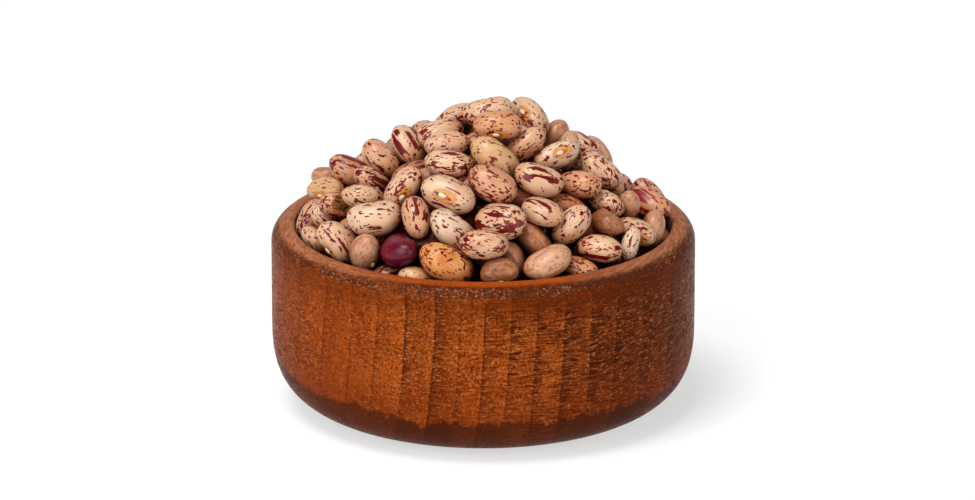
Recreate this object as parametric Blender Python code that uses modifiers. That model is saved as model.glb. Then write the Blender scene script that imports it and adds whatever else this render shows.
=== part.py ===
"""A turned wooden bowl heaped with dried borlotti beans.

The bowl is one turned solid. The beans are one solid heap that fills the bowl and rises above its rim, with
a bean-sized bump for each bean of its outer layer. Units are metres, +Z is up, and the origin is the centre
of the flat base that the bowl stands on.
"""

import math
import random

import bmesh
import bpy
from mathutils import Euler, Matrix, Vector

MM = 0.001

# The bowl.
BOWL_RADIUS = 60.0 * MM
BOWL_HEIGHT = 52.5 * MM
BASE_RADIUS = 37.0 * MM
CORNER_HEIGHT = 25.0 * MM  # where the rounded bottom meets the upright wall
CORNER_ACROSS_POWER = 2.35  # above 2, the corner is fuller than an ellipse
CORNER_UP_POWER = 3.0
RIM_ROUND = 5.0 * MM  # the outer edge of the rim
LIP_ROUND = 0.8 * MM  # its inner edge
INNER_RADIUS = 53.3 * MM
FLOOR_THICKNESS = 9.0 * MM
INNER_CORNER_RADIUS = 24.0 * MM
INNER_CORNER_STEPS = 5
BOWL_STEPS = 64

# The heap.
GAP = 0.3 * MM  # between the heap and the bowl
HEAP_PEAK = 89.0 * MM
HEAP_SLOPE = 0.66  # rise over run of its side
HEAP_CROWN = 8.0 * MM  # how far the slope rounds off at the peak
EDGE_DROP = 9.0 * MM  # how far the side falls away to the wall
EDGE_DROP_POWER = 20
HEAP_RINGS = 26

# One bean: half its length, width and thickness.
BEAN_HALF = Vector((7.8 * MM, 5.3 * MM, 4.3 * MM))
BEAN_COUNT = 86
BEAN_SPREAD = 49.0 * MM  # the furthest that a bean's middle lies from the axis
BEAN_SEED = 7
SIZE_SPREAD = 0.12
LEAN_DEGREES = 20.0
DEPTH_SPREAD = 1.8 * MM
UNDER_LAYER_DEPTH = 7.0 * MM
GOLDEN_ANGLE = math.pi * (3.0 - math.sqrt(5.0))


def clear_scene():
    for old in list(bpy.data.objects):
        bpy.data.objects.remove(old)


def plain_material(name, colour, roughness):
    """A Principled material of one colour, with no metal in it."""
    material = bpy.data.materials.new(name)
    material.use_nodes = True
    shader = material.node_tree.nodes["Principled BSDF"]
    shader.inputs["Base Color"].default_value = (*colour, 1.0)
    shader.inputs["Roughness"].default_value = roughness
    shader.inputs["Metallic"].default_value = 0.0
    return material


def arc(centre, radius, start, end, steps):
    """Points of a round stretch, in degrees from straight out, as (distance from the axis, height)."""
    angles = [math.radians(start + (end - start) * i / steps) for i in range(steps + 1)]
    return [(centre[0] + radius * math.cos(a), centre[1] + radius * math.sin(a)) for a in angles]


def inner_outline(gap):
    """The rounded bottom of the bowl's inside, from the edge of its floor up to its wall, less a gap."""
    corner = INNER_CORNER_RADIUS - gap
    centre = (INNER_RADIUS - gap - corner, FLOOR_THICKNESS + gap + corner)
    return arc(centre, corner, -90.0, 0.0, INNER_CORNER_STEPS)


def outer_corner(steps):
    """The rounded bottom of the bowl, from the upright wall down to the edge of the base."""
    points = []
    for i in range(steps + 1):
        angle = math.pi / 2 * (1 - i / steps)
        across = math.sin(angle) ** (2 / CORNER_ACROSS_POWER)
        up = 1 - math.cos(angle) ** (2 / CORNER_UP_POWER)
        points.append((BASE_RADIUS + (BOWL_RADIUS - BASE_RADIUS) * across, CORNER_HEIGHT * up))
    return points


def bowl_outline():
    """The bowl's section: up its inside, over the rim and down its outside to the middle of the base."""
    lip_centre = (INNER_RADIUS + LIP_ROUND, BOWL_HEIGHT - LIP_ROUND)
    rim_centre = (BOWL_RADIUS - RIM_ROUND, BOWL_HEIGHT - RIM_ROUND)
    lip = arc(lip_centre, LIP_ROUND, 180.0, 90.0, 2)
    rim = arc(rim_centre, RIM_ROUND, 90.0, 0.0, 5)
    return [(0.0, FLOOR_THICKNESS), *inner_outline(0.0), *lip, *rim, *outer_corner(8), (0.0, 0.0)]


def turned_object(name, outline, steps):
    """A solid of revolution about Z."""
    mesh = bpy.data.meshes.new(name)
    points = [(across, 0.0, up) for across, up in outline]
    mesh.from_pydata(points, [(i, i + 1) for i in range(len(points) - 1)], [])
    turned = bpy.data.objects.new(name, mesh)
    screw = turned.modifiers.new("turn", "SCREW")
    screw.steps = steps
    screw.render_steps = steps
    screw.use_merge_vertices = True
    screw.merge_threshold = 0.00002
    return turned


def make_bowl():
    bowl = turned_object("bowl", bowl_outline(), BOWL_STEPS)
    bowl.data.materials.append(plain_material("stained_wood", (0.27, 0.075, 0.022), 0.42))
    return bowl


def heap_height(distance):
    """The height of the heap's smooth outline at a distance from the axis."""
    slope = HEAP_SLOPE * (math.hypot(distance, HEAP_CROWN) - HEAP_CROWN)
    drop = EDGE_DROP * (distance / INNER_RADIUS) ** EDGE_DROP_POWER
    return HEAP_PEAK - slope - drop


def heap_tilt(distance):
    """The angle of the heap's side below level at a distance from the axis."""
    step = 0.5 * MM
    return math.atan2(heap_height(distance) - heap_height(distance + step), step)


class Bean:
    """An ellipsoid that lies in the heap's outer layer."""

    def __init__(self, index, dice):
        distance = BEAN_SPREAD * math.sqrt((index + 0.5) / BEAN_COUNT)
        bearing = index * GOLDEN_ANGLE
        size = 1 + dice.uniform(-SIZE_SPREAD, SIZE_SPREAD)
        sunk = BEAN_HALF.z + dice.uniform(0.0, DEPTH_SPREAD)
        lean = math.radians(LEAN_DEGREES)
        pose = Euler((dice.uniform(-lean, lean), dice.uniform(-lean, lean), dice.uniform(0.0, math.pi)))
        side = Matrix.Rotation(bearing, 3, "Z") @ Matrix.Rotation(heap_tilt(distance), 3, "Y")
        surface = Vector((distance * math.cos(bearing), distance * math.sin(bearing), heap_height(distance)))
        self.middle = surface + side @ Vector((0.0, 0.0, -sunk))
        turn = side @ pose.to_matrix()
        stretch = Matrix.Diagonal([1 / (half * size) ** 2 for half in BEAN_HALF])
        self.form = turn @ stretch @ turn.transposed()

    def top(self, x, y):
        """The height of its upper surface over a point, or nothing where it doesn't reach."""
        dx, dy = x - self.middle.x, y - self.middle.y
        form = self.form
        a = form[2][2]
        b = form[0][2] * dx + form[1][2] * dy
        c = form[0][0] * dx * dx + 2 * form[0][1] * dx * dy + form[1][1] * dy * dy - 1
        inside = b * b - a * c
        if inside < 0:
            return None
        return self.middle.z + (math.sqrt(inside) - b) / a


def outer_beans():
    dice = random.Random(BEAN_SEED)
    return [Bean(index, dice) for index in range(BEAN_COUNT)]


def bumpy_height(x, y, beans):
    """The height of the heap over a point: the bean on top there, or the layer under it."""
    under = heap_height(math.hypot(x, y)) - UNDER_LAYER_DEPTH
    tops = [bean.top(x, y) for bean in beans]
    return max([under, *(top for top in tops if top is not None)])


def round_out(corner):
    """The place on a disc for a point of a hexagon, so that each smaller hexagon in it becomes a circle."""
    sixth = math.pi / 3
    angle = math.atan2(corner.y, corner.x)
    middle = round(angle / sixth) * sixth  # the hexagon has a side across +X
    off = angle - middle
    radius = corner.to_2d().length * math.cos(off) / math.cos(sixth / 2)
    angle = middle + sixth / 2 * math.tan(off) / math.tan(sixth / 2)
    return Vector((radius * math.cos(angle), radius * math.sin(angle), 0.0))


def make_heap():
    """An evenly divided disc raised into the bumpy top, with its edge drawn down to line the bowl."""
    mesh = bmesh.new()
    bmesh.ops.create_circle(mesh, cap_ends=True, cap_tris=True, segments=6, radius=INNER_RADIUS - GAP)
    bmesh.ops.subdivide_edges(mesh, edges=mesh.edges[:], cuts=HEAP_RINGS - 1, use_grid_fill=True)
    beans = outer_beans()
    for vertex in mesh.verts:
        vertex.co = round_out(vertex.co)
        vertex.co.z = bumpy_height(vertex.co.x, vertex.co.y, beans)

    edge = [e for e in mesh.edges if e.is_boundary]
    for distance, height in reversed(inner_outline(GAP)):
        drawn = bmesh.ops.extrude_edge_only(mesh, edges=edge)["geom"]
        edge = [e for e in drawn if isinstance(e, bmesh.types.BMEdge)]
        for vertex in (v for v in drawn if isinstance(v, bmesh.types.BMVert)):
            across = vertex.co.to_2d().normalized() * distance
            vertex.co = (across.x, across.y, height)
    bmesh.ops.contextual_create(mesh, geom=edge)
    bmesh.ops.recalc_face_normals(mesh, faces=mesh.faces[:])

    data = bpy.data.meshes.new("bean_heap")
    mesh.to_mesh(data)
    mesh.free()
    data.materials.append(plain_material("dried_beans", (0.60, 0.38, 0.25), 0.45))
    data.shade_smooth()
    return bpy.data.objects.new("bean_heap", data)


def main():
    clear_scene()
    collection = bpy.data.collections.new("bowl_of_dried_beans")
    bpy.context.scene.collection.children.link(collection)
    for piece in (make_bowl(), make_heap()):
        collection.objects.link(piece)


main()
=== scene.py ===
"""A turned wooden bowl heaped with dried borlotti beans, on a white floor in soft studio light.

The beans lie over a dark core, painted shade that stands in for the unlit depth of the heap. Those that face
the front are placed one by one, the others by a seeded draw, and all of them are then pushed clear of each
other and of the bowl.
"""

import math

import bmesh
import bpy
import numpy as np
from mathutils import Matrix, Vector


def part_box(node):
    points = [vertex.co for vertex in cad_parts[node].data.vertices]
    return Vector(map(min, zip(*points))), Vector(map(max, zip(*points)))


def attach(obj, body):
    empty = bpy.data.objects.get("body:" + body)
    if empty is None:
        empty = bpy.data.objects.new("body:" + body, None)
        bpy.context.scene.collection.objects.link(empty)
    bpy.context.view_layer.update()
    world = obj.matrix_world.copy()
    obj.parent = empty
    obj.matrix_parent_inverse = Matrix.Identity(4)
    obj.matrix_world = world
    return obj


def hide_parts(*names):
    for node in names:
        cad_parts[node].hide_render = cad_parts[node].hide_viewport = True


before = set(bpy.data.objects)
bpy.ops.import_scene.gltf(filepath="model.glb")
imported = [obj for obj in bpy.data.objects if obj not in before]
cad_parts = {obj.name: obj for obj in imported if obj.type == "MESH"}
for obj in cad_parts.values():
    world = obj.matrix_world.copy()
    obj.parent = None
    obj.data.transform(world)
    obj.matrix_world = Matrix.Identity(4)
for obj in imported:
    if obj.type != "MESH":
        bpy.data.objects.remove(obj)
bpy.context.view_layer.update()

MM = 0.001

# The bowl, in millimetres, from the frame where the frame gives it.
BOWL_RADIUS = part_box("bowl")[1].x / MM
BOWL_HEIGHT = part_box("bowl")[1].z / MM
INNER_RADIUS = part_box("bean_heap")[1].x / MM + 0.3
HEAP_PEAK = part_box("bean_heap")[1].z / MM
BASE_RADIUS = 37.0
CORNER_HEIGHT = 25.0
CORNER_ACROSS_POWER = 2.35
CORNER_UP_POWER = 3.0
RIM_ROUND = 5.0
LIP_ROUND = 0.8
FLOOR_THICKNESS = 9.0
INNER_CORNER_RADIUS = 24.0
BOWL_STEPS = 256

# The wood: where the tree's centre is and how wide a growth ring is, in millimetres, the first and the last
# ring that shows, and the middle of the patch on the right where the stain has sunk in.
RING_CENTRE = (-330, 0, 52)
RING_WIDTH = 7.4
FIRST_RING = 37.5
LAST_RING = 52.85
PATCH_CENTRE = (53, -32, 34)

# The heap's smooth outline, in millimetres.
HEAP_SLOPE = 0.66
HEAP_CROWN = 8.0
EDGE_DROP = 9.0
EDGE_DROP_POWER = 20

# The core's depth under that outline, and its gap to the bowl.
CORE_DEPTH = 24.0
CORE_GAP = 0.5

# One bean: half its length, width and thickness in millimetres. Its eye is in the middle of the -Y side.
BEAN_HALF = np.array([7.5, 5.0, 4.2])
KIDNEY_BEND = 0.8
EYE_DENT = 0.45
EYE_DENT_REACH = 0.32
EYE_HALF = np.array([1.15, 0.42, 0.62])

# How much fuller a bean is than an even oval, how much its two ends and its thickness vary, and how wavy it
# is, as parts of its size.
FULLNESS = 0.05
END_VARIETY = 0.10
THICKNESS_VARIETY = 0.14
WAVINESS = 0.042

# Balls that fill a bean in pairs side by side, to test what it touches: how far along it, and their radius.
BALLS = ((-4.5, 3.4), (-2.3, 4.05), (0.0, 4.25), (2.3, 4.05), (4.5, 3.4))

BEAN_DETAIL = 4
EYE_DETAIL = 3

# The kinds of bean, with how often the draw picks each.
KINDS = {
    "cream": 0.22,
    "speckled": 0.28,
    "streaked": 0.26,
    "plain": 0.12,
    "ivory": 0.06,
    "golden": 0.04,
    "maroon": 0.02,
}

# The beans that face the front, from the top of the heap down to the rim. Each has its kind, its place (how
# far right of the axis, how far behind it and how deep under the heap's outline), the angle of its length as
# seen from the front, where its eye faces (0 to the front, 90 up, -90 down, 180 to the back), how far its
# right end points to the front, and its size. Lengths are in millimetres and angles in degrees.
FRONT_BEANS = (
    ("pale", 1.8, 3.0, 1.2, 5, 135, 0, 0.97),
    ("speckled", -7.0, 5.0, 0.5, 20, 180, 0, 0.85),
    ("peach", 4.3, -6.8, -0.5, 6, -45, 12, 0.93),
    ("speckled", 12.8, 8.2, -2.2, -50, -15, 40, 1.00),
    ("plain", 19.7, 11.5, 0.0, 60, 180, 20, 0.82),
    ("streaked", -11.3, -2.8, 1.2, 5, 135, 0, 0.95),
    ("speckled", -9.5, -7.5, 1.5, -10, 180, 0, 0.90),
    ("ivory", -3.8, -7.5, 3.2, 20, 180, 0, 0.78),
    ("speckled", 11.2, -7.0, 1.0, 42, 180, 0, 0.88),
    ("cream", 19.6, -7.0, 0.0, 15, 5, -15, 0.92),
    ("plain", 23.9, 2.0, 0.2, 80, 180, 0, 0.78),
    ("streaked", 27.7, 15.0, -1.5, -30, 180, 50, 0.85),
    ("plain", 31.3, 17.0, -1.5, -50, 180, 0, 0.85),
    ("streaked", -20.0, -1.0, -0.3, -65, 135, 20, 0.93),
    ("streaked", -28.0, 1.5, -1.3, -50, 150, 0, 0.95),
    ("streaked", -9.0, -17.0, 0.0, 5, 150, 0, 0.92),
    ("plain", -15.5, -15.5, 4.0, 0, 180, 0, 0.80),
    ("speckled", -5.5, -21.0, 4.0, 0, 180, 0, 0.85),
    ("ivory", 2.7, -16.5, 0.3, -26, 165, 0, 1.08),
    ("speckled", 33.0, -1.0, -0.7, -45, 150, 0, 0.92),
    ("streaked", 35.5, 1.0, 0.7, -55, 180, 0, 0.85),
    ("peach", 26.4, -15.5, 0.0, 0, 175, 30, 0.93),
    ("streaked", 15.0, -21.4, 0.0, -15, 135, 0, 0.98),
    ("speckled", 2.4, -25.0, 0.5, -35, 120, 25, 1.00),
    ("streaked", -37.4, 9.0, -1.6, -20, 150, 0, 0.88),
    ("streaked", -30.3, -7.0, 1.0, -25, -20, -45, 0.88),
    ("speckled", -21.7, -17.5, 0.0, 45, -17, 30, 1.00),
    ("pale", -9.5, -27.2, 0.0, -25, -15, 28, 1.12),
    ("plain", -44.8, 15.0, -3.8, 0, 180, 40, 0.62),
    ("ivory", -43.3, 6.0, -0.5, -5, -35, 30, 0.82),
    ("speckled", -33.0, -12.8, 0.3, 5, 180, 0, 0.90),
    ("stained", -39.6, -12.5, -0.4, 10, 180, 0, 0.85),
    ("streaked", -18.0, -30.5, 1.5, -75, 180, 20, 0.93),
    ("pale", -29.3, -26.3, 0.0, 12, 130, 0, 1.06),
    ("speckled", -49.0, -4.0, 0.3, 60, 180, 20, 0.82),
    ("cream", -45.2, -7.0, 2.6, -65, 180, 0, 0.75),
    ("brown", 9.5, -22.0, 6.5, 10, 180, 0, 0.80),
    ("peach", 23.0, -19.0, 5.5, -20, 180, 0, 0.80),
    ("streaked", 17.0, -31.5, 0.0, -25, 150, 20, 0.90),
    ("speckled", 33.5, -16.8, -0.2, -35, 180, 25, 0.85),
    ("plain", 40.6, -9.9, 0.8, 80, 180, 60, 0.76),
    ("blotched", 46.7, 1.5, 0.4, -30, 110, 35, 0.90),
    ("pale", -8.5, -38.3, 0.0, -38, 150, 0, 1.05),
    ("streaked", 4.7, -36.7, 0.0, -50, 100, 25, 1.12),
    ("brown", 34.0, -24.5, 1.2, -15, 180, 40, 0.75),
    ("cream", 24.5, -32.5, 0.5, 50, 180, 0, 0.93),
    ("speckled", 42.7, -20.0, 0.0, -25, -20, -15, 0.85),
    ("plain", 47.3, -11.0, 1.5, 80, 180, 0, 0.75),
    ("pale", -41.0, -26.0, 0.0, -50, -70, 0, 0.95),
    ("speckled", -47.3, -14.0, 2.8, -45, 180, 0, 0.80),
    ("plain", -32.2, -35.8, 0.0, 60, -60, 55, 0.92),
    ("brown", -16.3, -35.0, 4.5, 20, 180, 0, 0.85),
    ("maroon", -22.5, -39.5, 1.0, 40, 180, 50, 0.97),
    ("speckled", 0.8, -43.3, -0.6, 5, 180, 0, 0.96),
    ("plain", 14.0, -38.0, 2.2, -50, 180, 0, 0.90),
    ("streaked", 32.0, -36.0, 0.0, -10, 150, 0, 0.90),
    ("cream", 40.5, -27.0, 0.5, 70, 180, 0, 0.66),
    ("ivory", 39.5, -29.5, 3.5, -30, 180, 0, 0.80),
    ("streaked", -24.5, -42.0, 2.5, -8, 180, 0, 0.95),
    ("ivory", -17.5, -45.5, 2.8, 10, 180, 0, 0.80),
    ("golden", -10.8, -46.6, 0.0, 5, 165, 0, 1.16),
    ("brown", 4.2, -48.0, 0.8, 12, -70, 0, 0.74),
    ("plain", 9.0, -44.5, 2.0, -60, 180, 0, 0.85),
    ("plain", 17.7, -45.0, 0.8, 12, 150, 0, 0.97),
    ("peach", 26.5, -41.0, 1.8, -20, 180, 0, 0.90),
)

# The other beans, in two layers: how many are tried, how deep they lie, how far out they reach, how far they
# stay from the placed ones, how much deeper they lie in front and behind, and how they vary.
SEED = 11
OUTER_COUNT = 112
OUTER_DEPTH = 0.5
UNDER_COUNT = 92
UNDER_DEPTH = 8.5
SPREAD = 48.5
FRONT_CLEARANCE = 9.0
FRONT_SINK = 2.5
BACK_SINK = 0.6
SIZES = (0.88, 1.12)
DEPTH_SHIFTS = (-1.0, 2.0)
LEAN_SPREAD = 0.3

# Settling, in millimetres and in shares of the way. A placed bean is drawn home, harder across the line of
# sight than along it, once it is further off than the free shift. The others sink. Then all are pushed clear
# of each other, of the bowl and the core, and back under the heap's outline.
SETTLE_STEPS = 160
PUSHES = 2
PLACED_EASE = 0.35
FREE_SHIFT = 0.6
HOMING_ACROSS = 0.4
HOMING_ALONG = 0.04
SINKING = 0.10
CONTACT_PUSH = 0.7
BOUND_PUSH = 0.9
OUTLINE_PUSH = 0.5
PLACED_GIVE = 0.4
PLACED_TURNING = 0.004
FREE_TURNING = 0.02
TOUCHING_REACH = 18.0
WALL_GAP = 0.1
PROUD_RADIUS = 1.15

# The camera stands where the bowl is seen from a little above.
CAMERA_DISTANCE = 2.0
CAMERA_ELEVATION = math.radians(19.4)
CAMERA_LENS = 258.8
VIEW_DIRECTION = np.array([0.0, math.cos(CAMERA_ELEVATION), -math.sin(CAMERA_ELEVATION)])
AIM = Vector((1.2, 0.0, 44.0)) * MM

# The lights are far and soft. Each has its direction from the bowl, its width in degrees and its strength.
LIGHTS = {
    "overhead": ((-0.25, -0.2, 1.0), 30.0, 2.32),
    "front_left": ((-0.85, -1.0, 0.7), 50.0, 1.85),
    "front_right": ((0.9, -1.0, 0.45), 50.0, 1.15),
    "back": ((0.0, 1.0, 0.35), 70.0, 0.5),
}
AMBIENT = 0.08

# The floor, in metres. It lights itself in part, so that it shows white with pale shadows.
FLOOR_HALF = 6.0
FLOOR_GREY = 0.42
FLOOR_GLOW = 0.58


# --- The bowl ---------------------------------------------------------------------------------------------


def arc(centre, radius, start, end, steps):
    """Points of a round stretch, in degrees from straight out, as (distance from the axis, height)."""
    angles = [math.radians(start + (end - start) * i / steps) for i in range(steps + 1)]
    return [(centre[0] + radius * math.cos(a), centre[1] + radius * math.sin(a)) for a in angles]


def outer_corner(steps):
    """The rounded bottom of the bowl, from the upright wall down to the edge of the base."""
    points = []
    for i in range(steps + 1):
        angle = math.pi / 2 * (1 - i / steps)
        across = math.sin(angle) ** (2 / CORNER_ACROSS_POWER)
        up = 1 - math.cos(angle) ** (2 / CORNER_UP_POWER)
        points.append((BASE_RADIUS + (BOWL_RADIUS - BASE_RADIUS) * across, CORNER_HEIGHT * up))
    return points


def bowl_outline():
    """The bowl's section: up its inside, over the rim and down its outside to the middle of the base."""
    inner_centre = (INNER_RADIUS - INNER_CORNER_RADIUS, FLOOR_THICKNESS + INNER_CORNER_RADIUS)
    lip_centre = (INNER_RADIUS + LIP_ROUND, BOWL_HEIGHT - LIP_ROUND)
    rim_centre = (BOWL_RADIUS - RIM_ROUND, BOWL_HEIGHT - RIM_ROUND)
    return [
        (0.0, FLOOR_THICKNESS),
        *arc(inner_centre, INNER_CORNER_RADIUS, -90.0, 0.0, 16),
        *arc(lip_centre, LIP_ROUND, 180.0, 90.0, 6),
        *arc(rim_centre, RIM_ROUND, 90.0, 0.0, 14),
        *outer_corner(28),
        (0.0, 0.0),
    ]


def make_bowl():
    mesh = bpy.data.meshes.new("turned_bowl")
    points = [(across * MM, 0.0, up * MM) for across, up in bowl_outline()]
    mesh.from_pydata(points, [(i, i + 1) for i in range(len(points) - 1)], [])
    bowl = bpy.data.objects.new("turned_bowl", mesh)
    bpy.context.collection.objects.link(bowl)
    screw = bowl.modifiers.new("turn", "SCREW")
    screw.steps = BOWL_STEPS
    screw.render_steps = BOWL_STEPS
    screw.use_merge_vertices = True
    screw.merge_threshold = 0.00001
    screw.use_smooth_shade = True
    mesh.materials.append(wood())
    return bowl


# --- Materials --------------------------------------------------------------------------------------------


class Shader:
    """A Principled material and short ways to add nodes to it."""

    def __init__(self, name):
        self.material = bpy.data.materials.new(name)
        self.material.use_nodes = True
        self.nodes = self.material.node_tree.nodes
        self.links = self.material.node_tree.links
        self.main = self.nodes["Principled BSDF"]

    def feed(self, socket, value):
        """Links an output to a socket, or sets the socket to a plain value."""
        if isinstance(value, bpy.types.NodeSocket):
            self.links.new(value, socket)
        else:
            socket.default_value = value

    def finish(self, name, value):
        """Sets one of the material's own properties."""
        self.feed(self.main.inputs[name], value)

    def attribute(self, name):
        """A vector that the mesh holds for each point."""
        node = self.nodes.new("ShaderNodeAttribute")
        node.attribute_name = name
        return node.outputs["Vector"]

    def number(self, name):
        """A number that the mesh holds for each point."""
        node = self.nodes.new("ShaderNodeAttribute")
        node.attribute_name = name
        return node.outputs["Fac"]

    def place(self):
        """A point's place on the object, in millimetres."""
        return self.vector("SCALE", self.nodes.new("ShaderNodeTexCoord").outputs["Object"], scale=1 / MM)

    def vector(self, operation, a, b=(0.0, 0.0, 0.0), scale=1.0):
        node = self.nodes.new("ShaderNodeVectorMath")
        node.operation = operation
        self.feed(node.inputs[0], a)
        self.feed(node.inputs[1], b)
        self.feed(node.inputs[3], scale)
        return node.outputs[1 if operation == "LENGTH" else 0]

    def math(self, operation, a, b=0.0, clamp=False):
        node = self.nodes.new("ShaderNodeMath")
        node.operation = operation
        node.use_clamp = clamp
        self.feed(node.inputs[0], a)
        self.feed(node.inputs[1], b)
        return node.outputs[0]

    def parts(self, vector):
        """A vector's X, Y and Z."""
        node = self.nodes.new("ShaderNodeSeparateXYZ")
        self.links.new(vector, node.inputs[0])
        return node.outputs

    def noise(self, place, scale, detail=2.0, roughness=0.5):
        """Smooth noise round 0.5. Scale is how many of its swells fit in a unit of place."""
        node = self.nodes.new("ShaderNodeTexNoise")
        self.feed(node.inputs["Vector"], place)
        node.inputs["Scale"].default_value = scale
        node.inputs["Detail"].default_value = detail
        node.inputs["Roughness"].default_value = roughness
        return node.outputs["Fac"]

    def drawn(self, number):
        """A draw from 0 to 1 that differs for every whole number."""
        node = self.nodes.new("ShaderNodeTexWhiteNoise")
        node.noise_dimensions = "1D"
        self.feed(node.inputs["W"], number)
        return node.outputs["Value"]

    def step(self, value, start, end, low=0.0, high=1.0):
        """A smooth change from low to high as value goes from start to end."""
        node = self.nodes.new("ShaderNodeMapRange")
        node.interpolation_type = "SMOOTHSTEP"
        self.feed(node.inputs["Value"], value)
        self.feed(node.inputs["From Min"], start)
        self.feed(node.inputs["From Max"], end)
        self.feed(node.inputs["To Min"], low)
        self.feed(node.inputs["To Max"], high)
        return node.outputs["Result"]

    def mix(self, factor, a, b, blend="MIX"):
        node = self.nodes.new("ShaderNodeMix")
        node.data_type = "RGBA"
        node.blend_type = blend
        self.feed(node.inputs[0], factor)
        self.feed(node.inputs[6], a)
        self.feed(node.inputs[7], b)
        return node.outputs[2]

    def bump(self, height, distance):
        """Relief, with the distance in millimetres between heights 0 and 1."""
        node = self.nodes.new("ShaderNodeBump")
        node.inputs["Strength"].default_value = 1.0
        node.inputs["Distance"].default_value = distance * MM
        self.feed(node.inputs["Height"], height)
        self.finish("Normal", node.outputs["Normal"])


def rgb(red, green, blue):
    return (red, green, blue, 1.0)


def scoring(shader, place, mottle):
    """Where turning has scored the wall in level lines, and where the stain has sunk in deeper."""
    away = shader.vector("MULTIPLY", shader.vector("SUBTRACT", place, PATCH_CENTRE), (1, 1, 0.7))
    away = shader.math("ADD", shader.vector("LENGTH", away), shader.math("MULTIPLY", mottle, 9.0))
    return shader.step(away, 76.0, 48.0), shader.step(away, 52.0, 28.0)


def growth_rings(shader, place, broken, scored):
    """Upright bands on the front: each one's drawn tone, its dark edge, and its late and early wood."""
    across = shader.vector("MULTIPLY", shader.vector("SUBTRACT", place, RING_CENTRE), (1, 0, 1))
    wander = shader.noise(shader.vector("MULTIPLY", place, (1, 0.1, 0.12)), 0.08, 3.0)
    ring = shader.math("MULTIPLY", shader.vector("LENGTH", across), 1 / RING_WIDTH)
    ring = shader.math("ADD", ring, shader.math("MULTIPLY", wander, 0.6))
    ring = shader.math("MINIMUM", shader.math("MAXIMUM", ring, FIRST_RING), LAST_RING)
    within = shader.math("FRACT", ring)
    tone = shader.drawn(shader.math("FLOOR", ring))

    edge = shader.math("SUBTRACT", 1.0, shader.step(within, 0.02, 0.15))
    edge = shader.math("MULTIPLY", edge, shader.step(broken, 0.32, 0.54))
    edge = shader.math("MULTIPLY", edge, shader.step(tone, 0.0, 0.6, 0.65, 1.0))
    late = shader.math("MULTIPLY", shader.step(within, 0.0, 0.85, 1.0, 0.0), tone)
    late_scored = shader.math("MULTIPLY", scored, shader.step(within, 0.0, 0.7, 0.9, 0.0))
    late = shader.math("MAXIMUM", late, late_scored)
    early = shader.step(within, 0.72, 0.94)
    early = shader.math("MULTIPLY", early, shader.step(broken, 0.30, 0.60, 0.15, 0.5))
    return tone, edge, late, early


def pores(shader, place):
    """Open pores, thicker in some places. They run along Y, so they are dots on the front."""
    holes = shader.noise(shader.vector("MULTIPLY", place, (1, 0.13, 1)), 1.45, 3.0, 0.75)
    gathered = shader.noise(shader.vector("MULTIPLY", place, (1, 0.3, 1)), 0.16, 3.0, 0.6)
    level = shader.step(gathered, 0.3, 0.7, 0.54, 0.47)
    return shader.step(shader.math("SUBTRACT", holes, level), 0.0, 0.10)


def score_marks(shader, colour, place, scored, patch, late, grains):
    """The scored lines: raised paler ticks, pale specks and dark torn grooves."""
    tick, speck, groove = rgb(0.43, 0.12, 0.030), rgb(0.44, 0.13, 0.040), rgb(0.040, 0.007, 0.001)
    scores = shader.noise(shader.vector("MULTIPLY", place, (0.26, 0.26, 2.1)), 1.0, 4.0, 0.65)
    raised = shader.step(patch, 0.0, 1.0, 0.45, 0.3)
    raised = shader.math("MULTIPLY", shader.step(scores, 0.56, 0.64), raised)
    colour = shader.mix(raised, colour, tick)
    specks = shader.math("MULTIPLY", shader.step(grains, 0.59, 0.66), shader.math("MULTIPLY", scored, 0.34))
    colour = shader.mix(specks, colour, speck)
    torn = shader.math("MULTIPLY", shader.step(scores, 0.48, 0.41), shader.math("ADD", scored, late))
    return shader.mix(shader.math("MULTIPLY", torn, 0.8, clamp=True), colour, groove)


def stain_on_wall(shader, colour, x, z, mottle, scored):
    """The stain is redder to the left and low down, and darker just under the rim."""
    left_red, low_red, dark = rgb(0.17, 0.020, 0.001), rgb(0.15, 0.016, 0.001), rgb(0.10, 0.014, 0.001)
    redder = shader.step(x, -18.0, -40.0, 0.0, 0.45)
    redder = shader.math("MULTIPLY", redder, shader.step(mottle, 0.30, 0.60))
    colour = shader.mix(redder, colour, left_red)
    colour = shader.mix(shader.step(z, 30.0, 12.0, 0.0, 0.42), colour, low_red)
    under = shader.step(z, BOWL_HEIGHT - 12.0, BOWL_HEIGHT - 5.0)
    under = shader.math("MULTIPLY", under, shader.step(scored, 0.0, 1.0, 0.42, 0.74))
    return shader.mix(under, colour, dark)


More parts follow.
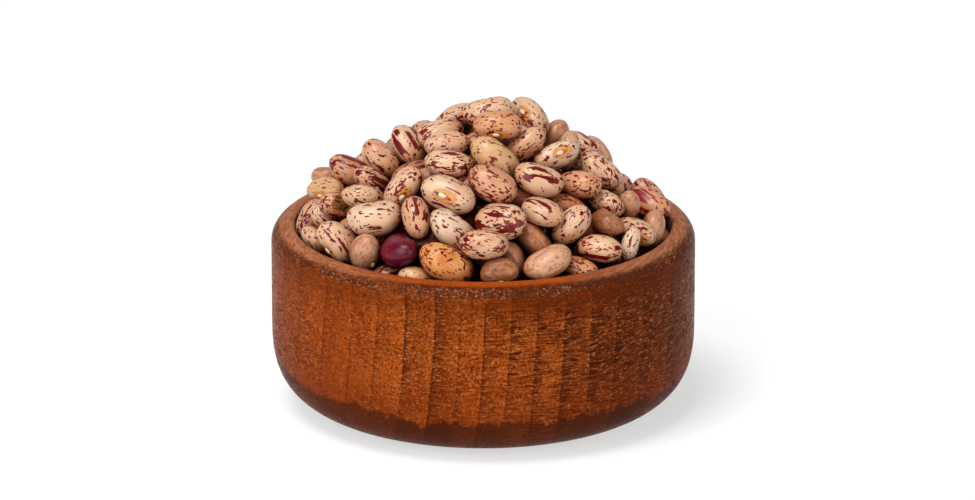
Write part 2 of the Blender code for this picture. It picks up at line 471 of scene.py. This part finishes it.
def rim_top(shader, colour, place, x, z, mottle, broken):
    """The rim's top: its grain arcs are painted paler at the sides as painted sheen and dark at the front as
    painted shade, with a painted highlight along the lip and a painted shadow line behind it at the front.
    """
    dull, pale, shaded = rgb(0.24, 0.075, 0.028), rgb(0.48, 0.185, 0.085), rgb(0.20, 0.032, 0.003)
    lip_highlight_orange, dark = rgb(0.44, 0.072, 0.006), rgb(0.030, 0.005, 0.002)
    sideways = shader.step(shader.math("ABSOLUTE", x), 12.0, 45.0)
    to_front = shader.math("SUBTRACT", 1.0, sideways)
    level = shader.vector("LENGTH", shader.vector("MULTIPLY", place, (1, 1, 0)))
    arcs = shader.vector("ADD", shader.vector("SCALE", (3.0, 3.0, 3.0), scale=level), place)
    arcs = shader.noise(arcs, 0.35, 3.0, 0.7)
    top = shader.step(z, BOWL_HEIGHT - 1.6, BOWL_HEIGHT - 0.5)
    # Painted sheen and shade: the grain arcs are paler at the sides, and the top is dark at the front.
    wear_and_painted_light = shader.mix(sideways, shaded, shader.mix(shader.step(arcs, 0.35, 0.65), dull, pale))
    colour = shader.mix(shader.math("MULTIPLY", top, 0.8), colour, wear_and_painted_light)

    # Painted highlight: a bright orange line along the lip at the front, where its edge catches the light.
    painted_lip_highlight = shader.math("MULTIPLY", top, shader.step(level, INNER_RADIUS + 3.9, INNER_RADIUS + 3.1, 0.0, 0.8))
    painted_lip_highlight = shader.math("MULTIPLY", painted_lip_highlight, to_front)
    painted_lip_highlight = shader.math("MULTIPLY", painted_lip_highlight, shader.step(mottle, 0.35, 0.65, 0.45, 1.0))
    colour = shader.mix(painted_lip_highlight, colour, lip_highlight_orange)
    # Painted shade: a dark line on the flat top behind the lip, at the front only.
    painted_crease_shade = shader.math("ABSOLUTE", shader.math("SUBTRACT", level, INNER_RADIUS + 4.4))
    painted_crease_shade = shader.step(painted_crease_shade, 0.6, 0.2)
    painted_crease_shade = shader.math("MULTIPLY", painted_crease_shade, shader.step(z, BOWL_HEIGHT - 3.0, BOWL_HEIGHT - 2.0))
    painted_crease_shade = shader.math("MULTIPLY", painted_crease_shade, shader.step(broken, 0.35, 0.55, 0.0, 0.8))
    painted_crease_shade = shader.math("MULTIPLY", painted_crease_shade, to_front)
    return shader.mix(painted_crease_shade, colour, dark)


def rim_shoulder(shader, colour, place, z, grains):
    """The rim's outer shoulder: dark, and worn in places to flecks of bare wood."""
    dark, bare = rgb(0.050, 0.015, 0.007), rgb(0.42, 0.17, 0.085)
    wear = shader.noise(shader.vector("MULTIPLY", place, (0.6, 0.6, 1.4)), 0.85, 4.0, 0.75)
    low = shader.step(z, BOWL_HEIGHT - 4.0, BOWL_HEIGHT - 2.4)
    shoulder = shader.math("MULTIPLY", low, shader.step(z, BOWL_HEIGHT - 0.3, BOWL_HEIGHT - 1.2))
    wear_and_painted_light = shader.math("MULTIPLY", shoulder, shader.step(wear, 0.40, 0.54))
    colour = shader.mix(shader.math("MULTIPLY", wear_and_painted_light, 0.8), colour, dark)
    fleck = shader.math("MULTIPLY", shoulder, shader.step(grains, 0.54, 0.64))
    fleck = shader.math("MULTIPLY", fleck, shader.step(shader.noise(place, 0.07, 2.0), 0.44, 0.56, 0.1, 0.8))
    return shader.mix(fleck, colour, bare)


def foot(shader, colour, place, x, z, tone):
    """The stain is darker round the foot, up to a ragged edge."""
    ragged = shader.noise(shader.vector("MULTIPLY", place, (1, 1, 0.4)), 0.07, 6.0, 0.75)
    top = shader.math("MULTIPLY", ragged, 18.0)
    top = shader.math("ADD", top, shader.step(x, 0.0, -45.0, 3.0, 5.0))
    below = shader.step(shader.math("SUBTRACT", z, top), 0.8, -0.5)
    below = shader.math("MULTIPLY", below, shader.step(tone, 0.0, 1.0, 0.74, 0.92))
    return shader.mix(below, colour, rgb(0.046, 0.008, 0.002))


def wood():
    """Stained and polished wood cut with the tree's length along Y."""
    brown, orange = rgb(0.245, 0.037, 0.003), rgb(0.34, 0.068, 0.006)
    sunk_in, late_wood = rgb(0.066, 0.009, 0.001), rgb(0.080, 0.013, 0.002)
    early_wood = rgb(0.38, 0.080, 0.009)
    dark_ring, ring_edge = rgb(0.11, 0.018, 0.002), rgb(0.045, 0.007, 0.001)
    open_pore, glint = rgb(0.060, 0.008, 0.001), rgb(0.59, 0.19, 0.050)

    shader = Shader("stained_wood")
    place = shader.place()
    x, _, z = shader.parts(place)
    mottle = shader.noise(place, 0.10, 4.0, 0.6)
    broken = shader.noise(place, 0.45, 3.0, 0.7)
    grains = shader.noise(shader.vector("MULTIPLY", place, (0.8, 0.8, 1.2)), 1.6, 3.0, 0.7)
    glints = shader.noise(shader.vector("MULTIPLY", place, (0.7, 0.15, 1.1)), 1.5, 3.0, 0.8)
    scored, patch = scoring(shader, place, mottle)
    tone, edge, late, early = growth_rings(shader, place, broken, scored)
    pore = pores(shader, place)

    colour = shader.mix(shader.step(mottle, 0.32, 0.68), brown, orange)
    colour = shader.mix(shader.math("MULTIPLY", patch, 0.80), colour, sunk_in)
    colour = shader.mix(shader.math("MULTIPLY", late, 0.70), colour, late_wood)
    early = shader.math("MULTIPLY", early, shader.step(patch, 0.0, 1.0, 1.0, 0.35))
    colour = shader.mix(early, colour, early_wood)
    colour = shader.mix(shader.step(tone, 0.35, 1.0, 0.0, 0.35), colour, dark_ring)
    colour = shader.mix(shader.math("MULTIPLY", edge, 0.9), colour, ring_edge)
    colour = shader.mix(shader.math("MULTIPLY", pore, 0.85), colour, open_pore)
    colour = shader.mix(shader.step(glints, 0.54, 0.66, 0.0, 0.75), colour, glint)
    colour = score_marks(shader, colour, place, scored, patch, late, grains)
    colour = stain_on_wall(shader, colour, x, z, mottle, scored)
    colour = rim_top(shader, colour, place, x, z, mottle, broken)
    colour = rim_shoulder(shader, colour, place, z, grains)
    shader.finish("Base Color", foot(shader, colour, place, x, z, tone))

    shader.finish("Roughness", shader.step(pore, 0.0, 1.0, 0.32, 0.6))
    shader.finish("Specular IOR Level", 0.012)
    grooves = shader.noise(shader.vector("MULTIPLY", place, (0.01, 0.01, 1)), 1.3, 3.0, 0.7)
    relief = shader.math("SUBTRACT", shader.math("MULTIPLY", grooves, 0.6), pore)
    shader.bump(relief, 0.10)
    shader.finish("Sheen Tint", rgb(1.0, 0.75, 0.5))
    shader.finish("Sheen Weight", 0.065)
    shader.finish("Sheen Roughness", 0.35)
    return shader.material


def skin_ground(shader, spread, place, shift, pale, warm):
    """A bean's own shade between pale and warm, rosy in places and warm at the tips."""
    tint = shader.noise(spread(0.8), 0.11, 2.0)
    tint = shader.math("ADD", tint, shader.math("MULTIPLY", shader.math("SUBTRACT", shift, 0.5), 0.6))
    colour = shader.mix(shader.step(tint, 0.25, 0.75), pale, warm)
    rosy = shader.step(shader.noise(spread(0.25), 0.35, 4.0, 0.65), 0.46, 0.70, 0.0, 0.5)
    colour = shader.mix(rosy, colour, shader.mix(1.0, colour, rgb(0.72, 0.50, 0.49), "MULTIPLY"))
    tips = shader.step(shader.math("ABSOLUTE", shader.parts(place)[0]), 3.0, 7.5, 0.0, 0.5)
    return shader.mix(tips, colour, warm)


def eye_ring(shader, spread, place, colour):
    """The ring round the eye: orange, wider to one side, and darker at its edge and next to the eye."""
    orange, brown, dark = rgb(0.62, 0.23, 0.018), rgb(0.30, 0.085, 0.02), rgb(0.28, 0.055, 0.006)
    from_eye = shader.vector("SUBTRACT", place, (0.9, -BEAN_HALF[1], 0.0))
    from_eye = shader.vector("LENGTH", shader.vector("MULTIPLY", from_eye, (0.62, 0.8, 1.0)))
    from_eye = shader.math("ADD", from_eye, shader.math("MULTIPLY", shader.noise(spread(1.0), 0.5), 1.4))
    halo = shader.math("SUBTRACT", 1.0, shader.step(from_eye, 2.0, 3.1))
    colour = shader.mix(shader.math("MULTIPLY", halo, 0.9), colour, orange)
    edge = shader.math("MULTIPLY", halo, shader.math("SUBTRACT", 1.0, halo))
    colour = shader.mix(shader.math("MULTIPLY", edge, 1.6), colour, brown)
    return shader.mix(shader.step(from_eye, 1.9, 1.3, 0.0, 0.8), colour, dark)


def streaks(shader, spread, own, wavy, level):
    """Streaks that run the length of the bean and break up at their edges."""
    bent = shader.vector("ADD", spread(0.10), shader.vector("SCALE", own, scale=0.3))
    streak = shader.noise(bent, 0.52, 2.0, 0.5)
    streak = shader.math("ADD", streak, shader.math("MULTIPLY", shader.math("SUBTRACT", wavy, 0.5), 0.11))
    return shader.step(streak, level, shader.math("ADD", level, 0.02))


def flecks(shader, spread, fine, level):
    """Short dashes of two sizes, thick in some places and missing in others."""
    patch = shader.math("SUBTRACT", shader.noise(spread(0.6), 0.17, 1.0), 0.5)
    bold = shader.noise(spread(0.45), 0.98, 1.0, 0.4)
    dash = shader.math("MAXIMUM", bold, shader.math("SUBTRACT", fine, 0.015))
    dash = shader.math("ADD", dash, shader.math("MULTIPLY", patch, 0.22))
    return shader.step(dash, level, shader.math("ADD", level, 0.018))


def mould(shader, place, colour, wavy, fine, strength):
    """A dark stain beside the middle of the bean's back, rusty at its edge."""
    rusty, black, brown = rgb(0.26, 0.075, 0.012), rgb(0.026, 0.008, 0.002), rgb(0.17, 0.060, 0.009)
    away = shader.vector("LENGTH", shader.vector("SUBTRACT", place, (-0.8, 4.3, -0.8)))
    away = shader.math("ADD", away, shader.math("MULTIPLY", wavy, 4.0))
    colour = shader.mix(shader.step(away, 6.2, 4.8, 0.0, strength), colour, rusty)
    spotted = shader.mix(shader.step(fine, 0.42, 0.56), black, brown)
    return shader.mix(shader.step(away, 5.2, 4.6, 0.0, strength), colour, spotted)


def shade_of_depth(shader, colour):
    """Painted shade: the skin is warmed and then darkened with depth under the heap's outline, for the warm,
    dim light between the beans.
    """
    deep = shader.number("bean_deep")
    painted_warm_shade = shader.mix(1.0, colour, rgb(0.88, 0.68, 0.56), "MULTIPLY")
    colour = shader.mix(shader.step(deep, 1.5, 6.0), colour, painted_warm_shade)
    painted_deep_shade = shader.mix(1.0, colour, rgb(0.19, 0.085, 0.055), "MULTIPLY")
    return shader.mix(shader.step(deep, 5.0, 11.0), colour, painted_deep_shade)


def bean_skin(name, pale, warm, mark, fleck_level, streak_level, mark_strength=1.0, stain=0.0, wrinkle=0.10):
    """A bean's skin: pale and warm ground colours, with flecks and lengthwise streaks of the mark colour.

    Lower levels give more flecks and streaks. A bean's three drawn numbers shift its levels and its shade.
    """
    shader = Shader(name)
    place = shader.attribute("bean_place")
    draw = shader.attribute("bean_draw")
    first, second, third = shader.parts(draw)
    own = shader.vector("SCALE", draw, scale=90.0)

    def spread(stretch):
        """The bean's own stretch of a texture, drawn out along its length."""
        return shader.vector("ADD", shader.vector("MULTIPLY", place, (stretch, 1.0, 1.0)), own)

    wavy = shader.noise(spread(0.6), 0.7, 3.0, 0.6)
    fine = shader.noise(spread(0.60), 1.30, 1.0, 0.4)
    thin = shader.noise(spread(0.3), 0.45, 2.0)
    colour = skin_ground(shader, spread, place, second, pale, warm)
    colour = eye_ring(shader, spread, place, colour)
    streak_level = shader.math("SUBTRACT", streak_level, shader.math("MULTIPLY", first, 0.06))
    fleck_level = shader.math("ADD", fleck_level, shader.math("MULTIPLY", third, 0.05))
    streaked = streaks(shader, spread, own, wavy, streak_level)
    marks = shader.math("MAXIMUM", streaked, flecks(shader, spread, fine, fleck_level))
    ink = shader.mix(shader.step(thin, 0.48, 0.68, 0.0, 0.5), mark, rgb(0.25, 0.042, 0.024))
    colour = shader.mix(shader.math("MULTIPLY", marks, mark_strength), colour, ink)
    if stain > 0.0:
        colour = mould(shader, place, colour, wavy, fine, stain)
    shader.finish("Base Color", shade_of_depth(shader, colour))
    shader.finish("Roughness", 0.27)
    shader.finish("Specular IOR Level", 0.28)
    shader.bump(shader.noise(spread(0.7), 0.45, 3.0), wrinkle)
    return shader.material


def bean_skins():
    """One skin for each kind of bean."""
    mark, rust = rgb(0.125, 0.003, 0.006), rgb(0.25, 0.006, 0.010)
    faint = rgb(0.27, 0.085, 0.045)
    white, cream, tan = rgb(0.65, 0.46, 0.325), rgb(0.65, 0.405, 0.245), rgb(0.54, 0.265, 0.140)
    brown, umber, burnt = rgb(0.43, 0.185, 0.082), rgb(0.29, 0.105, 0.045), rgb(0.13, 0.038, 0.015)
    peach, clay = rgb(0.61, 0.30, 0.150), rgb(0.50, 0.205, 0.092)
    buff, fawn = rgb(0.57, 0.315, 0.180), rgb(0.48, 0.230, 0.120)
    ivory, straw = rgb(0.65, 0.42, 0.22), rgb(0.56, 0.31, 0.14)
    amber, orange = rgb(0.72, 0.37, 0.130), rgb(0.50, 0.120, 0.012)
    wine, plum = rgb(0.115, 0.003, 0.018), rgb(0.048, 0.002, 0.009)
    return {
        "cream": bean_skin("cream_skin", white, cream, mark, 0.605, 0.65),
        "pale": bean_skin("pale_skin", white, cream, mark, 0.625, 0.66),
        "speckled": bean_skin("speckled_skin", cream, tan, mark, 0.588, 0.64),
        "streaked": bean_skin("streaked_skin", cream, tan, mark, 0.62, 0.585),
        "stained": bean_skin("stained_skin", cream, tan, mark, 0.580, 0.66, stain=0.9),
        "blotched": bean_skin("blotched_skin", peach, tan, rust, 0.64, 0.50),
        "plain": bean_skin("plain_skin", buff, fawn, faint, 0.60, 0.62, 0.6, wrinkle=0.2),
        "peach": bean_skin("peach_skin", peach, clay, mark, 0.60, 0.72),
        "brown": bean_skin("brown_skin", brown, umber, burnt, 0.60, 0.62, 0.6, wrinkle=0.4),
        "ivory": bean_skin("ivory_skin", ivory, straw, mark, 0.60, 0.72, 0.9, wrinkle=0.3),
        "golden": bean_skin("golden_skin", amber, orange, mark, 0.575, 0.74),
        "maroon": bean_skin("maroon_skin", wine, plum, mark, 0.62, 0.64, 0.5, wrinkle=0.3),
    }


def plain_skin(name, colour, roughness):
    """One colour with slightly darker clouds in it."""
    shader = Shader(name)
    clouds = shader.noise(shader.place(), 0.8, 3.0)
    shader.finish("Base Color", shader.mix(clouds, rgb(*[c * 0.8 for c in colour]), rgb(*colour)))
    shader.finish("Roughness", roughness)
    return shader.material


# --- The heap ---------------------------------------------------------------------------------------------


def heap_height(distance):
    """The height of the heap's smooth outline at a distance from the axis."""
    slope = HEAP_SLOPE * (np.hypot(distance, HEAP_CROWN) - HEAP_CROWN)
    return HEAP_PEAK - slope - EDGE_DROP * (distance / INNER_RADIUS) ** EDGE_DROP_POWER


def outward(places):
    """The direction straight out of the heap's side at each place."""
    distance = np.maximum(np.hypot(places[:, 0], places[:, 1]), 1e-6)
    run = HEAP_SLOPE * distance / np.hypot(distance, HEAP_CROWN)
    across = places[:, :2] / distance[:, None] * run[:, None]
    normals = np.column_stack([across, np.ones(len(places))])
    return normals / np.linalg.norm(normals, axis=1)[:, None]


def unit(vectors):
    return vectors / np.linalg.norm(vectors, axis=-1, keepdims=True)


def bean_frame(angle, eye, dip):
    """A bean's axes as columns, from how its length and its eye lie as seen from the front."""
    right = np.array([1.0, 0.0, 0.0])
    up = np.cross(right, VIEW_DIRECTION)
    angle, eye, dip = math.radians(angle), math.radians(eye), math.radians(dip)
    seen = math.cos(angle) * right + math.sin(angle) * up
    side = math.cos(angle) * up - math.sin(angle) * right
    length = math.cos(dip) * seen - math.sin(dip) * VIEW_DIRECTION
    front = -math.cos(dip) * VIEW_DIRECTION - math.sin(dip) * seen
    width = -math.cos(eye) * front - math.sin(eye) * side
    return np.column_stack([length, width, np.cross(length, width)])


class Beans:
    """All the beans: their places, axes, sizes, kinds and how far each may be moved."""

    def __init__(self):
        self.dice = np.random.default_rng(SEED)
        self.place, self.axes, self.size, self.kind, self.ease, self.lift = [], [], [], [], [], []

    def add(self, kind, x, y, depth, size, ease, axes):
        """Adds one bean. Its lift is how far it may stand out of the heap's outline."""
        surface = np.array([x, y, heap_height(math.hypot(x, y))])
        normal = outward(surface[None])[0]
        self.place.append(surface - (0.0, 0.0, (BEAN_HALF[2] + depth) / normal[2]))
        self.axes.append(axes)
        self.size.append(size)
        self.kind.append(kind)
        self.ease.append(ease)
        self.lift.append(max(0.5, 1.0 - depth) if ease == 1.0 else 3.0 - depth)

    def add_front(self):
        for kind, x, y, depth, angle, eye, dip, size in FRONT_BEANS:
            self.add(kind, x, y, depth, size, PLACED_EASE, bean_frame(angle, eye, dip))

    def random_frame(self, x, y):
        """Axes for a bean that lies roughly flat on the slope, any way round."""
        lean = unit(outward(np.array([[x, y]]))[0] + self.dice.normal(0.0, LEAN_SPREAD, 3))
        length = unit(np.cross(lean, self.dice.normal(0.0, 1.0, 3)))
        return np.column_stack([length, np.cross(lean, length), lean])

    def add_layer(self, count, depth):
        """Scatters beans evenly round the heap, except where a front bean already lies."""
        taken = np.array([bean[1:3] for bean in FRONT_BEANS]) if depth < BEAN_HALF[2] else np.zeros((0, 2))
        for i in range(count):
            distance = SPREAD * math.sqrt((i + 0.5) / count)
            bearing = i * math.pi * (3.0 - math.sqrt(5.0))
            x, y = distance * math.cos(bearing), distance * math.sin(bearing)
            kind = self.dice.choice(list(KINDS), p=list(KINDS.values()))
            size = self.dice.uniform(*SIZES)
            sink = FRONT_SINK if y < 0.0 and len(taken) else BACK_SINK
            own_depth = depth + self.dice.uniform(*DEPTH_SHIFTS) + sink
            if len(taken) and np.min(np.hypot(taken[:, 0] - x, taken[:, 1] - y)) < FRONT_CLEARANCE:
                continue
            self.add(kind, x, y, own_depth, size, 1.0, self.random_frame(x, y))

    def pack(self):
        """Turns the lists into arrays."""
        self.place, self.axes = np.array(self.place), np.array(self.axes)
        self.size, self.ease, self.lift = np.array(self.size), np.array(self.ease), np.array(self.lift)
        self.kind = np.array(self.kind)


def bean_balls():
    """The middles and radii of the balls that fill a bean."""
    middles, radii = [], []
    for along, radius in BALLS:
        side = BEAN_HALF[1] * radius / BEAN_HALF[2] - radius
        for across in (-side, side):
            middles.append((along, across, 0.0))
            radii.append(radius)
    return np.array(middles), np.array(radii)


def contact_moves(beans, at, radii):
    """How far each bean's contacts with others push it, and the turning effect of those pushes."""
    gap = np.linalg.norm(beans.place[:, None] - beans.place[None], axis=2)
    one, two = np.nonzero(np.triu(gap < TOUCHING_REACH, 1))
    apart = at[one][:, :, None] - at[two][:, None]
    distance = np.linalg.norm(apart, axis=3)
    overlap = np.maximum(radii[one][:, :, None] + radii[two][:, None] - distance, 0.0)
    push = apart / np.maximum(distance, 1e-6)[..., None] * overlap[..., None]
    touching = np.maximum((overlap > 0).sum(axis=(1, 2)), 1)[:, None]
    share = (beans.ease[one] / (beans.ease[one] + beans.ease[two]))[:, None]
    move, spin = np.zeros_like(beans.place), np.zeros_like(beans.place)
    on_one, on_two = push.sum(axis=2), push.sum(axis=1)
    arm_one, arm_two = at[one] - beans.place[one][:, None], at[two] - beans.place[two][:, None]
    np.add.at(move, one, on_one.sum(axis=1) / touching * share)
    np.add.at(move, two, -on_two.sum(axis=1) / touching * (1 - share))
    np.add.at(spin, one, np.cross(arm_one, on_one).sum(axis=1) / touching * share)
    np.add.at(spin, two, -np.cross(arm_two, on_two).sum(axis=1) / touching * (1 - share))
    return move, spin


def bound_moves(beans, at, radii):
    """The same for the bowl's wall, the core and the heap's outline."""
    distance = np.hypot(at[..., 0], at[..., 1])
    over = np.maximum(distance + radii - (INNER_RADIUS - WALL_GAP), 0.0)
    push = np.zeros_like(at)
    push[..., :2] = -at[..., :2] / np.maximum(distance, 1e-6)[..., None] * over[..., None]
    outline = heap_height(np.minimum(distance, INNER_RADIUS))
    sunk = np.maximum(outline - CORE_DEPTH - at[..., 2], 0.0)
    proud = np.maximum(at[..., 2] + radii * PROUD_RADIUS - outline - beans.lift[:, None], 0.0)
    push[..., 2] += (sunk - proud) * OUTLINE_PUSH
    arm = at - beans.place[:, None]
    return push.max(axis=1) + push.min(axis=1), np.cross(arm, push).sum(axis=1) / at.shape[1]


def settle(beans):
    """Pushes the beans clear of each other while each stays near its place and sinks as far as it can."""
    middles, ball_radii = bean_balls()
    radii = ball_radii[None] * beans.size[:, None]
    home = beans.place.copy()
    held = (beans.ease < 1.0)[:, None]
    turning = np.where(held, PLACED_TURNING, FREE_TURNING)
    for step in range(SETTLE_STEPS):
        calm = min(1.0, 2.0 * (1.0 - step / SETTLE_STEPS))
        homeward = home - beans.place
        along = VIEW_DIRECTION * (homeward @ VIEW_DIRECTION)[:, None]
        across = homeward - along
        far = np.linalg.norm(across, axis=1, keepdims=True)
        across *= np.maximum(far - FREE_SHIFT, 0.0) / np.maximum(far, 1e-6)
        homing = across * HOMING_ACROSS + along * HOMING_ALONG
        beans.place += np.where(held, homing, -outward(beans.place) * SINKING) * calm
        for _ in range(PUSHES):
            at = beans.place[:, None] + np.einsum("nij,bj,n->nbi", beans.axes, middles, beans.size)
            move, spin = contact_moves(beans, at, radii)
            wall_move, wall_spin = bound_moves(beans, at, radii)
            move = CONTACT_PUSH * move + BOUND_PUSH * wall_move
            along = VIEW_DIRECTION * (move @ VIEW_DIRECTION)[:, None]
            beans.place += np.where(held, PLACED_GIVE * move + (1.0 - PLACED_GIVE) * along, move)
            turn = (spin + wall_spin) * turning
            beans.axes += np.cross(turn[:, None], beans.axes.transpose(0, 2, 1)).transpose(0, 2, 1)
            length = unit(beans.axes[:, :, 0])
            width = unit(beans.axes[:, :, 1] - length * np.sum(length * beans.axes[:, :, 1], 1)[:, None])
            beans.axes = np.stack([length, width, np.cross(length, width)], axis=2)


def unit_ball(detail):
    """The points and triangles of an even ball of radius 1."""
    mesh = bmesh.new()
    bmesh.ops.create_icosphere(mesh, subdivisions=detail, radius=1.0)
    points = unit(np.array([v.co for v in mesh.verts]))
    triangles = np.array([[v.index for v in f.verts] for f in mesh.faces])
    mesh.free()
    return points, triangles


def bean_shape(ball, draw):
    """A unit ball's points moved onto a bean, in millimetres. Draw holds three numbers from 0 to 1."""
    x, y, z = ball.T
    full = 1.0 + FULLNESS * (1.0 - x**2) * x**2 * 4
    lop = 1.0 + END_VARIETY * (draw[0] - 0.5) * x
    plump = 1.0 + THICKNESS_VARIETY * (draw[1] - 0.5)
    points = np.column_stack([x, y * full * lop, z * full * lop * plump]) * BEAN_HALF
    bend = KIDNEY_BEND * (0.4 + 1.2 * draw[2])
    points[:, 1] -= bend * (x**2 - 0.3)
    points[:, 1] += EYE_DENT * np.exp(-((x / EYE_DENT_REACH) ** 2)) * np.maximum(-y, 0.0) ** 3
    waves = np.sin(3.1 * x + 9 * draw[0]) * np.sin(2.7 * y + 7 * draw[1])
    return points * (1.0 + WAVINESS * waves[:, None])


def joined_mesh(name, points, triangles, attributes):
    """One mesh of many like pieces: points is an array of pieces by points by XYZ, in millimetres."""
    count, size = points.shape[:2]
    corners = (triangles[None] + np.arange(count)[:, None, None] * size).reshape(-1)
    mesh = bpy.data.meshes.new(name)
    mesh.vertices.add(count * size)
    mesh.vertices.foreach_set("co", (points * MM).reshape(-1))
    mesh.loops.add(len(corners))
    mesh.loops.foreach_set("vertex_index", corners)
    mesh.polygons.add(len(corners) // 3)
    mesh.polygons.foreach_set("loop_start", np.arange(0, len(corners), 3))
    mesh.update(calc_edges=True)
    for label, values in attributes.items():
        data_type, field = ("FLOAT_VECTOR", "vector") if values.ndim == 3 else ("FLOAT", "value")
        mesh.attributes.new(label, data_type, "POINT").data.foreach_set(field, values.reshape(-1))
    mesh.shade_smooth()
    return mesh


def add_piece(name, mesh, material):
    piece = bpy.data.objects.new(name, mesh)
    bpy.context.collection.objects.link(piece)
    mesh.materials.append(material)
    return piece


def make_beans():
    """One piece for each kind of bean, and one for the eyes of them all."""
    beans = Beans()
    beans.add_front()
    beans.add_layer(OUTER_COUNT, OUTER_DEPTH)
    beans.add_layer(UNDER_COUNT, UNDER_DEPTH)
    beans.pack()
    settle(beans)
    draws = beans.dice.uniform(0.0, 1.0, (len(beans.place), 3))
    ball, triangles = unit_ball(BEAN_DETAIL)
    small_ball, small_triangles = unit_ball(EYE_DETAIL)
    shapes = np.array([bean_shape(ball, draw) for draw in draws])
    eye_places = np.array([bean_shape(np.array([[0.0, -1.0, 0.0]]), draw)[0] for draw in draws])

    def in_heap(local):
        """Each bean's own points, moved to its place in the heap."""
        turned_points = np.einsum("nij,nvj,n->nvi", beans.axes, local, beans.size)
        return beans.place[:, None] + turned_points

    placed = in_heap(shapes)
    # How deep each point lies under the heap's outline; the skins darken with it as painted shade.
    deep = heap_height(np.minimum(np.hypot(placed[..., 0], placed[..., 1]), INNER_RADIUS)) - placed[..., 2]
    pieces = []
    for kind, skin in bean_skins().items():
        chosen = np.nonzero(beans.kind == kind)[0]
        attributes = {
            "bean_place": shapes[chosen],
            "bean_draw": np.repeat(draws[chosen][:, None], len(ball), axis=1),
            "bean_deep": deep[chosen],
        }
        mesh = joined_mesh(f"{kind}_beans", placed[chosen], triangles, attributes)
        pieces.append(add_piece(f"{kind}_beans", mesh, skin))
    eyes = in_heap(eye_places[:, None] + small_ball[None] * EYE_HALF)
    mesh = joined_mesh("bean_eyes", eyes, small_triangles, {})
    pieces.append(add_piece("bean_eyes", mesh, plain_skin("bean_eye", (0.78, 0.66, 0.52), 0.45)))
    return pieces


def make_core():
    """The dark middle of the heap, under both layers of beans. Its near-black colour is painted shade for
    the unlit beans deeper down.
    """
    mesh = bpy.data.meshes.new("heap_core")
    edge = INNER_RADIUS - CORE_GAP
    corner = (edge - INNER_CORNER_RADIUS, FLOOR_THICKNESS + INNER_CORNER_RADIUS)
    outline = [
        *[(r, float(heap_height(r)) - CORE_DEPTH) for r in np.linspace(0.0, edge, 24)],
        *arc(corner, INNER_CORNER_RADIUS - CORE_GAP, 0.0, -90.0, 8),
        (0.0, FLOOR_THICKNESS + CORE_GAP),
    ]
    points = [(across * MM, 0.0, up * MM) for across, up in outline]
    mesh.from_pydata(points, [(i, i + 1) for i in range(len(points) - 1)], [])
    # Painted shade: the core's near-black brown stands in for the unlit depth of the heap.
    core = add_piece("heap_core", mesh, plain_skin("core_painted_shade", (0.02, 0.008, 0.005), 0.8))
    screw = core.modifiers.new("turn", "SCREW")
    screw.steps = screw.render_steps = 96
    screw.use_merge_vertices = True
    screw.merge_threshold = 0.00001
    return core


# --- The studio -------------------------------------------------------------------------------------------


def make_floor():
    mesh = bpy.data.meshes.new("floor")
    near, far = -FLOOR_HALF, FLOOR_HALF
    mesh.from_pydata([(near, near, 0), (far, near, 0), (far, far, 0), (near, far, 0)], [], [(0, 1, 2, 3)])
    shader = Shader("floor_white")
    shader.finish("Base Color", rgb(FLOOR_GREY, FLOOR_GREY, FLOOR_GREY))
    shader.finish("Roughness", 0.9)
    shader.finish("Specular IOR Level", 0.0)
    shader.finish("Emission Color", rgb(1.0, 1.0, 1.0))
    shader.finish("Emission Strength", FLOOR_GLOW)
    return add_piece("floor", mesh, shader.material)


def add_light(name, towards, width, strength):
    data = bpy.data.lights.new(name, "SUN")
    data.angle = math.radians(width)
    data.energy = strength
    lamp = bpy.data.objects.new(name, data)
    lamp.rotation_euler = Vector(towards).to_track_quat("Z", "Y").to_euler()
    bpy.context.collection.objects.link(lamp)


def make_world():
    world = bpy.data.worlds.new("white_studio")
    world.use_nodes = True
    background = world.node_tree.nodes["Background"]
    background.inputs["Color"].default_value = rgb(1.0, 1.0, 1.0)
    background.inputs["Strength"].default_value = AMBIENT
    bpy.context.scene.world = world


def make_camera():
    data = bpy.data.cameras.new("camera")
    data.sensor_width = 36.0
    data.lens = CAMERA_LENS
    data.clip_start, data.clip_end = 0.01, 100.0
    camera = bpy.data.objects.new("camera", data)
    camera.location = Vector(-VIEW_DIRECTION * CAMERA_DISTANCE)
    camera.rotation_euler = (AIM - camera.location).to_track_quat("-Z", "Y").to_euler()
    bpy.context.collection.objects.link(camera)
    bpy.context.scene.camera = camera


def main():
    bowl = make_bowl()
    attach(bowl, "root")
    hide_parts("bowl")
    for piece in [*make_beans(), make_core()]:
        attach(piece, "root")
        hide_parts("bean_heap")

    make_floor()
    make_world()
    for name, (towards, width, strength) in LIGHTS.items():
        add_light(name, towards, width, strength)
    make_camera()
    bpy.context.scene.view_settings.view_transform = "Standard"


main()
